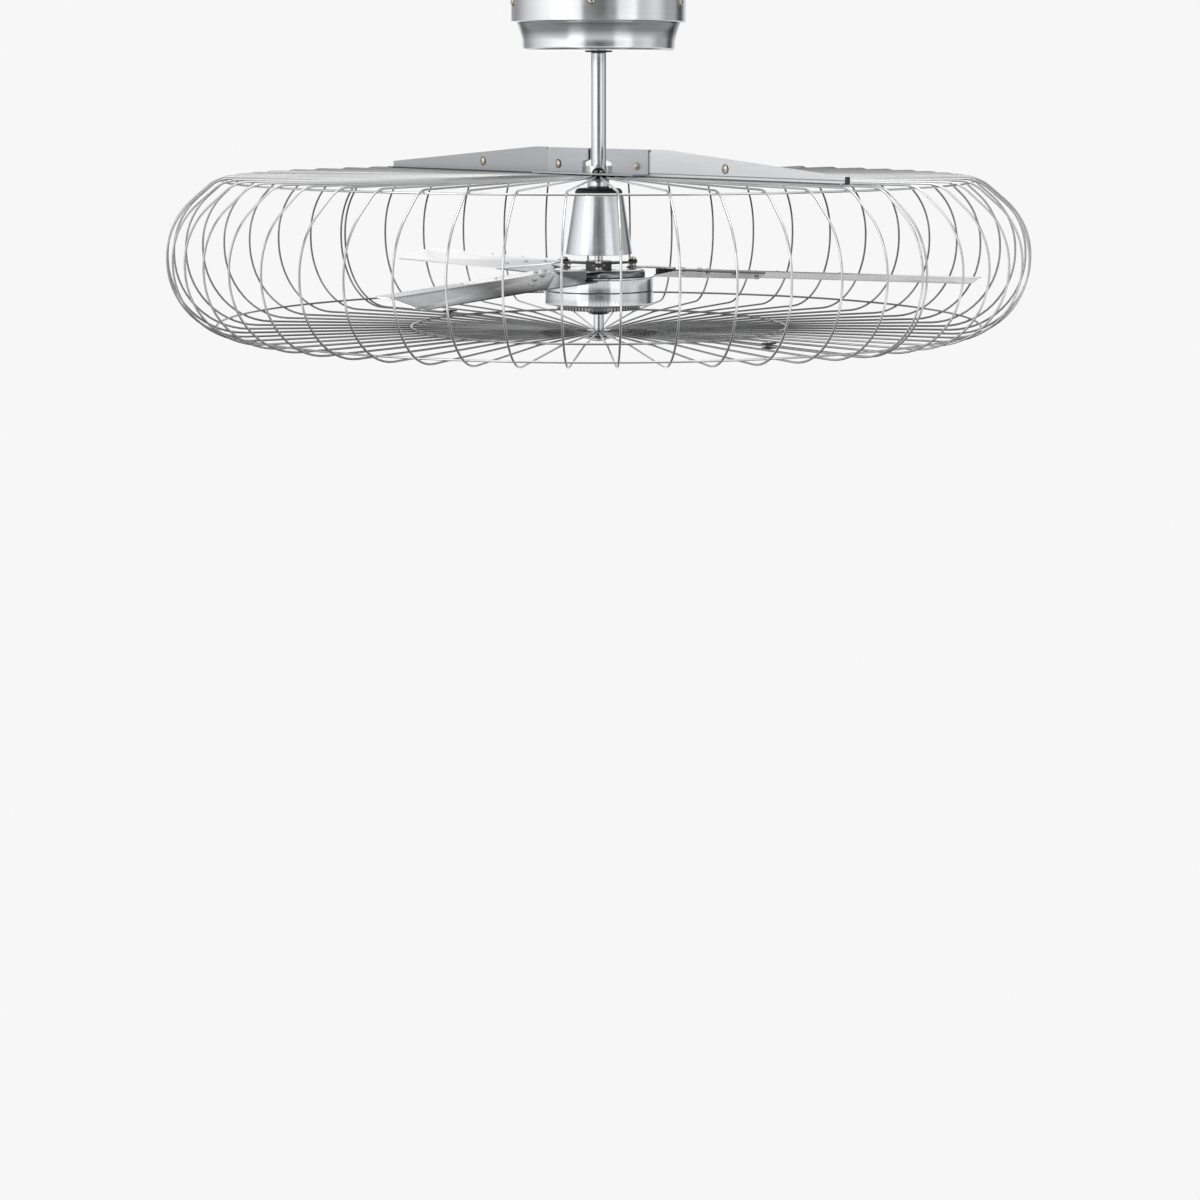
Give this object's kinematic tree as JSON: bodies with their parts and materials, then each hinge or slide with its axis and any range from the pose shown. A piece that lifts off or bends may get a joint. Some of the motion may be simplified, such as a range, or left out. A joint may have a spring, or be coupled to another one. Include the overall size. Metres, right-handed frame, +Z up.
{
  "type": "caged ceiling fan",
  "caption": "Ceiling fan on a short downrod, with folded sheet blades turning inside a round wire cage and a spun metal canopy.",
  "frame": {"origin": "on the downrod's axis, at the ceiling face of the bracket", "axes": "+Z up along the downrod; -Y towards the picture's camera; +X to its right, along the two ceiling slots"},
  "size_m": [1.2269, 1.2261, 0.5035],
  "materials": {
    "zinc_steel": "zinc plated",
    "bearing_steel": "ground",
    "satin_rod": "satin",
    "grey_sheet": "satin, darker",
    "satin_sheet": "satin",
    "spun_aluminium": "spun, lacquered",
    "bright_wire": "bright",
    "blade_sheet": "pale satin",
    "dark_rotor": "satin",
    "black_metal": "satin",
    "brass_screws": "plated",
    "black_rubber": "matt",
    "white_plastic": "matt",
    "grey_sheath": "matt",
    "capacitor_can": "plain",
    "stator_iron": "varnished",
    "copper_coils": "enamelled copper"
  },
  "bodies": {
    "ceiling_mount": {"ceiling_bracket": "zinc_steel", "hanger_saddle": "zinc_steel", "saddle_screws": "zinc_steel", "terminal_block": "white_plastic", "run_capacitor": "capacitor_can", "canopy_band": "spun_aluminium", "canopy_cup": "spun_aluminium", "canopy_screws": "brass_screws", "canopy_grommet": "black_rubber"},
    "swivel": {"ball_liner": "white_plastic"},
    "hanging_fan": {"hanger_ball": "zinc_steel", "rod_pins": "zinc_steel", "downrod": "satin_rod", "supply_lead": "grey_sheath", "upper_collar": "satin_rod", "collar_screws": "brass_screws", "front_centre_bracket": "grey_sheet", "back_centre_bracket": "grey_sheet", "front_bars": "satin_sheet", "back_bars": "satin_sheet", "bar_bolts": "brass_screws", "top_hub_plates": "grey_sheet", "lower_collar": "satin_rod", "front_cage_lengths": "bright_wire", "front_cage_links": "bright_wire", "back_cage_lengths": "bright_wire", "back_cage_links": "bright_wire", "top_ring": "bright_wire", "bottom_outer_ring": "bright_wire", "bottom_inner_ring": "bright_wire", "bottom_hub_plate": "grey_sheet", "bottom_nut": "zinc_steel", "clamp_bars": "black_metal", "clamp_screws": "brass_screws", "cone_cap": "black_rubber", "cone_cover": "spun_aluminium", "shaft_coupling": "zinc_steel", "motor_shaft": "zinc_steel", "bearing_inner_rings": "bearing_steel", "stator_core": "stator_iron", "stator_windings": "copper_coils", "lower_rod": "satin_rod"},
    "rotor": {"bearing_outer_rings": "bearing_steel", "rotor_cover": "dark_rotor", "cover_screws": "brass_screws", "drum_upper": "spun_aluminium", "drum_gasket": "black_rubber", "drum_lower": "spun_aluminium", "rotor_ring": "stator_iron", "vent_ring": "spun_aluminium", "bearing_cap": "satin_rod", "spider": "black_metal", "brass_posts": "brass_screws", "rubber_bushes": "black_rubber", "blade_screws": "zinc_steel", "blade_iron_1": "dark_rotor", "blade_iron_2": "dark_rotor", "blade_iron_3": "dark_rotor", "blade_1": "blade_sheet", "blade_2": "blade_sheet", "blade_3": "blade_sheet"}
  },
  "joints": [
    {"name": "swing_x", "type": "hinge", "parent": "ceiling_mount", "child": "swivel", "pos_m": [0, 0, -0.045], "axis": [1, 0, 0], "range_deg": [-4, 4]},
    {"name": "swing_y", "type": "hinge", "parent": "swivel", "child": "hanging_fan", "pos_m": [0, 0, -0.045], "axis": [0, 1, 0], "range_deg": [-4, 4]},
    {"name": "rotor_spin", "type": "hinge", "parent": "hanging_fan", "child": "rotor", "pos_m": [0, 0, -0.42], "axis": [0, 0, 1], "continuous": true}
  ]
}
